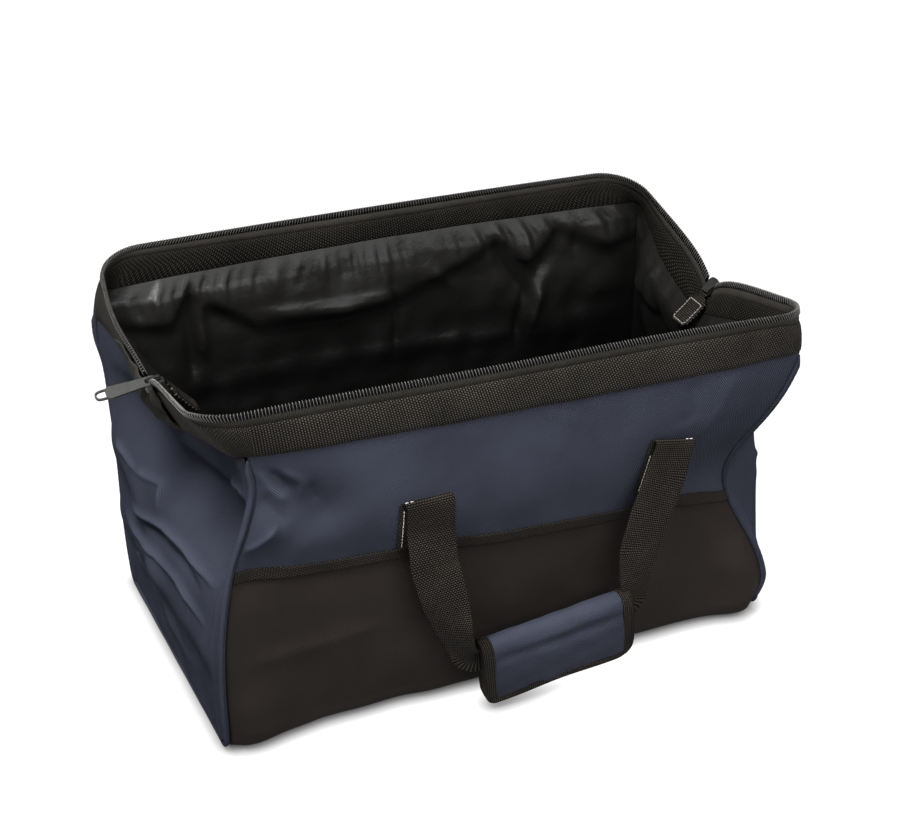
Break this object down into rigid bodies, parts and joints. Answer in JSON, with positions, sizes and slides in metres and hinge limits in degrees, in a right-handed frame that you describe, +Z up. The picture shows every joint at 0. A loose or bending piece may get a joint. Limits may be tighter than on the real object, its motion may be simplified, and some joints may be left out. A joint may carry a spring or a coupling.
{
  "type": "tool bag",
  "caption": "Open soft tool bag with a hinged zip mouth, webbing rim, piped end walls, fabric base and padded webbing handles on front and back.",
  "frame": {"origin": "middle of the base, on the surface that the bag stands on", "axes": "+X along the bag to the right, +Y from the front wall to the back wall, +Z up"},
  "size_m": [0.5453, 0.342, 0.3065],
  "materials": {
    "navy_cloth": "woven polyester",
    "base_cloth": "matte woven polyester",
    "webbing": "ribbed webbing",
    "lining_cloth": "coated nylon",
    "zip_coil": "satin",
    "zip_metal": "dark satin"
  },
  "bodies": {
    "bag": {"front_panel": "navy_cloth", "back_panel": "navy_cloth", "end_panel_left": "navy_cloth", "end_panel_right": "navy_cloth", "piping_left": "navy_cloth", "piping_right": "navy_cloth", "front_handle_grip": "navy_cloth", "back_handle_grip": "navy_cloth", "base_wrap": "base_cloth", "front_hem_tape": "webbing", "back_hem_tape": "webbing", "front_rim_band": "webbing", "back_rim_band": "webbing", "front_zip_tape": "webbing", "back_zip_tape": "webbing", "zip_tab_left": "webbing", "zip_tab_right": "webbing", "front_handle_strap": "webbing", "back_handle_strap": "webbing", "front_grip_binding": "webbing", "back_grip_binding": "webbing", "lining": "lining_cloth", "front_zip_coil": "zip_coil", "back_zip_coil": "zip_coil", "zip_slider_left": "zip_metal", "zip_slider_right": "zip_metal"},
    "left_pull": {"zip_pull_left": "zip_metal"},
    "right_pull": {"zip_pull_right": "zip_metal"}
  },
  "joints": [
    {"name": "left_pull_swing", "type": "hinge", "parent": "bag", "child": "left_pull", "pos_m": [-0.24101, 0, 0.25867], "axis": [0, 1, 0], "range_deg": [0, 150]},
    {"name": "right_pull_swing", "type": "hinge", "parent": "bag", "child": "right_pull", "pos_m": [0.24403, 0, 0.24365], "axis": [0, -1, 0], "range_deg": [0, 115]}
  ]
}
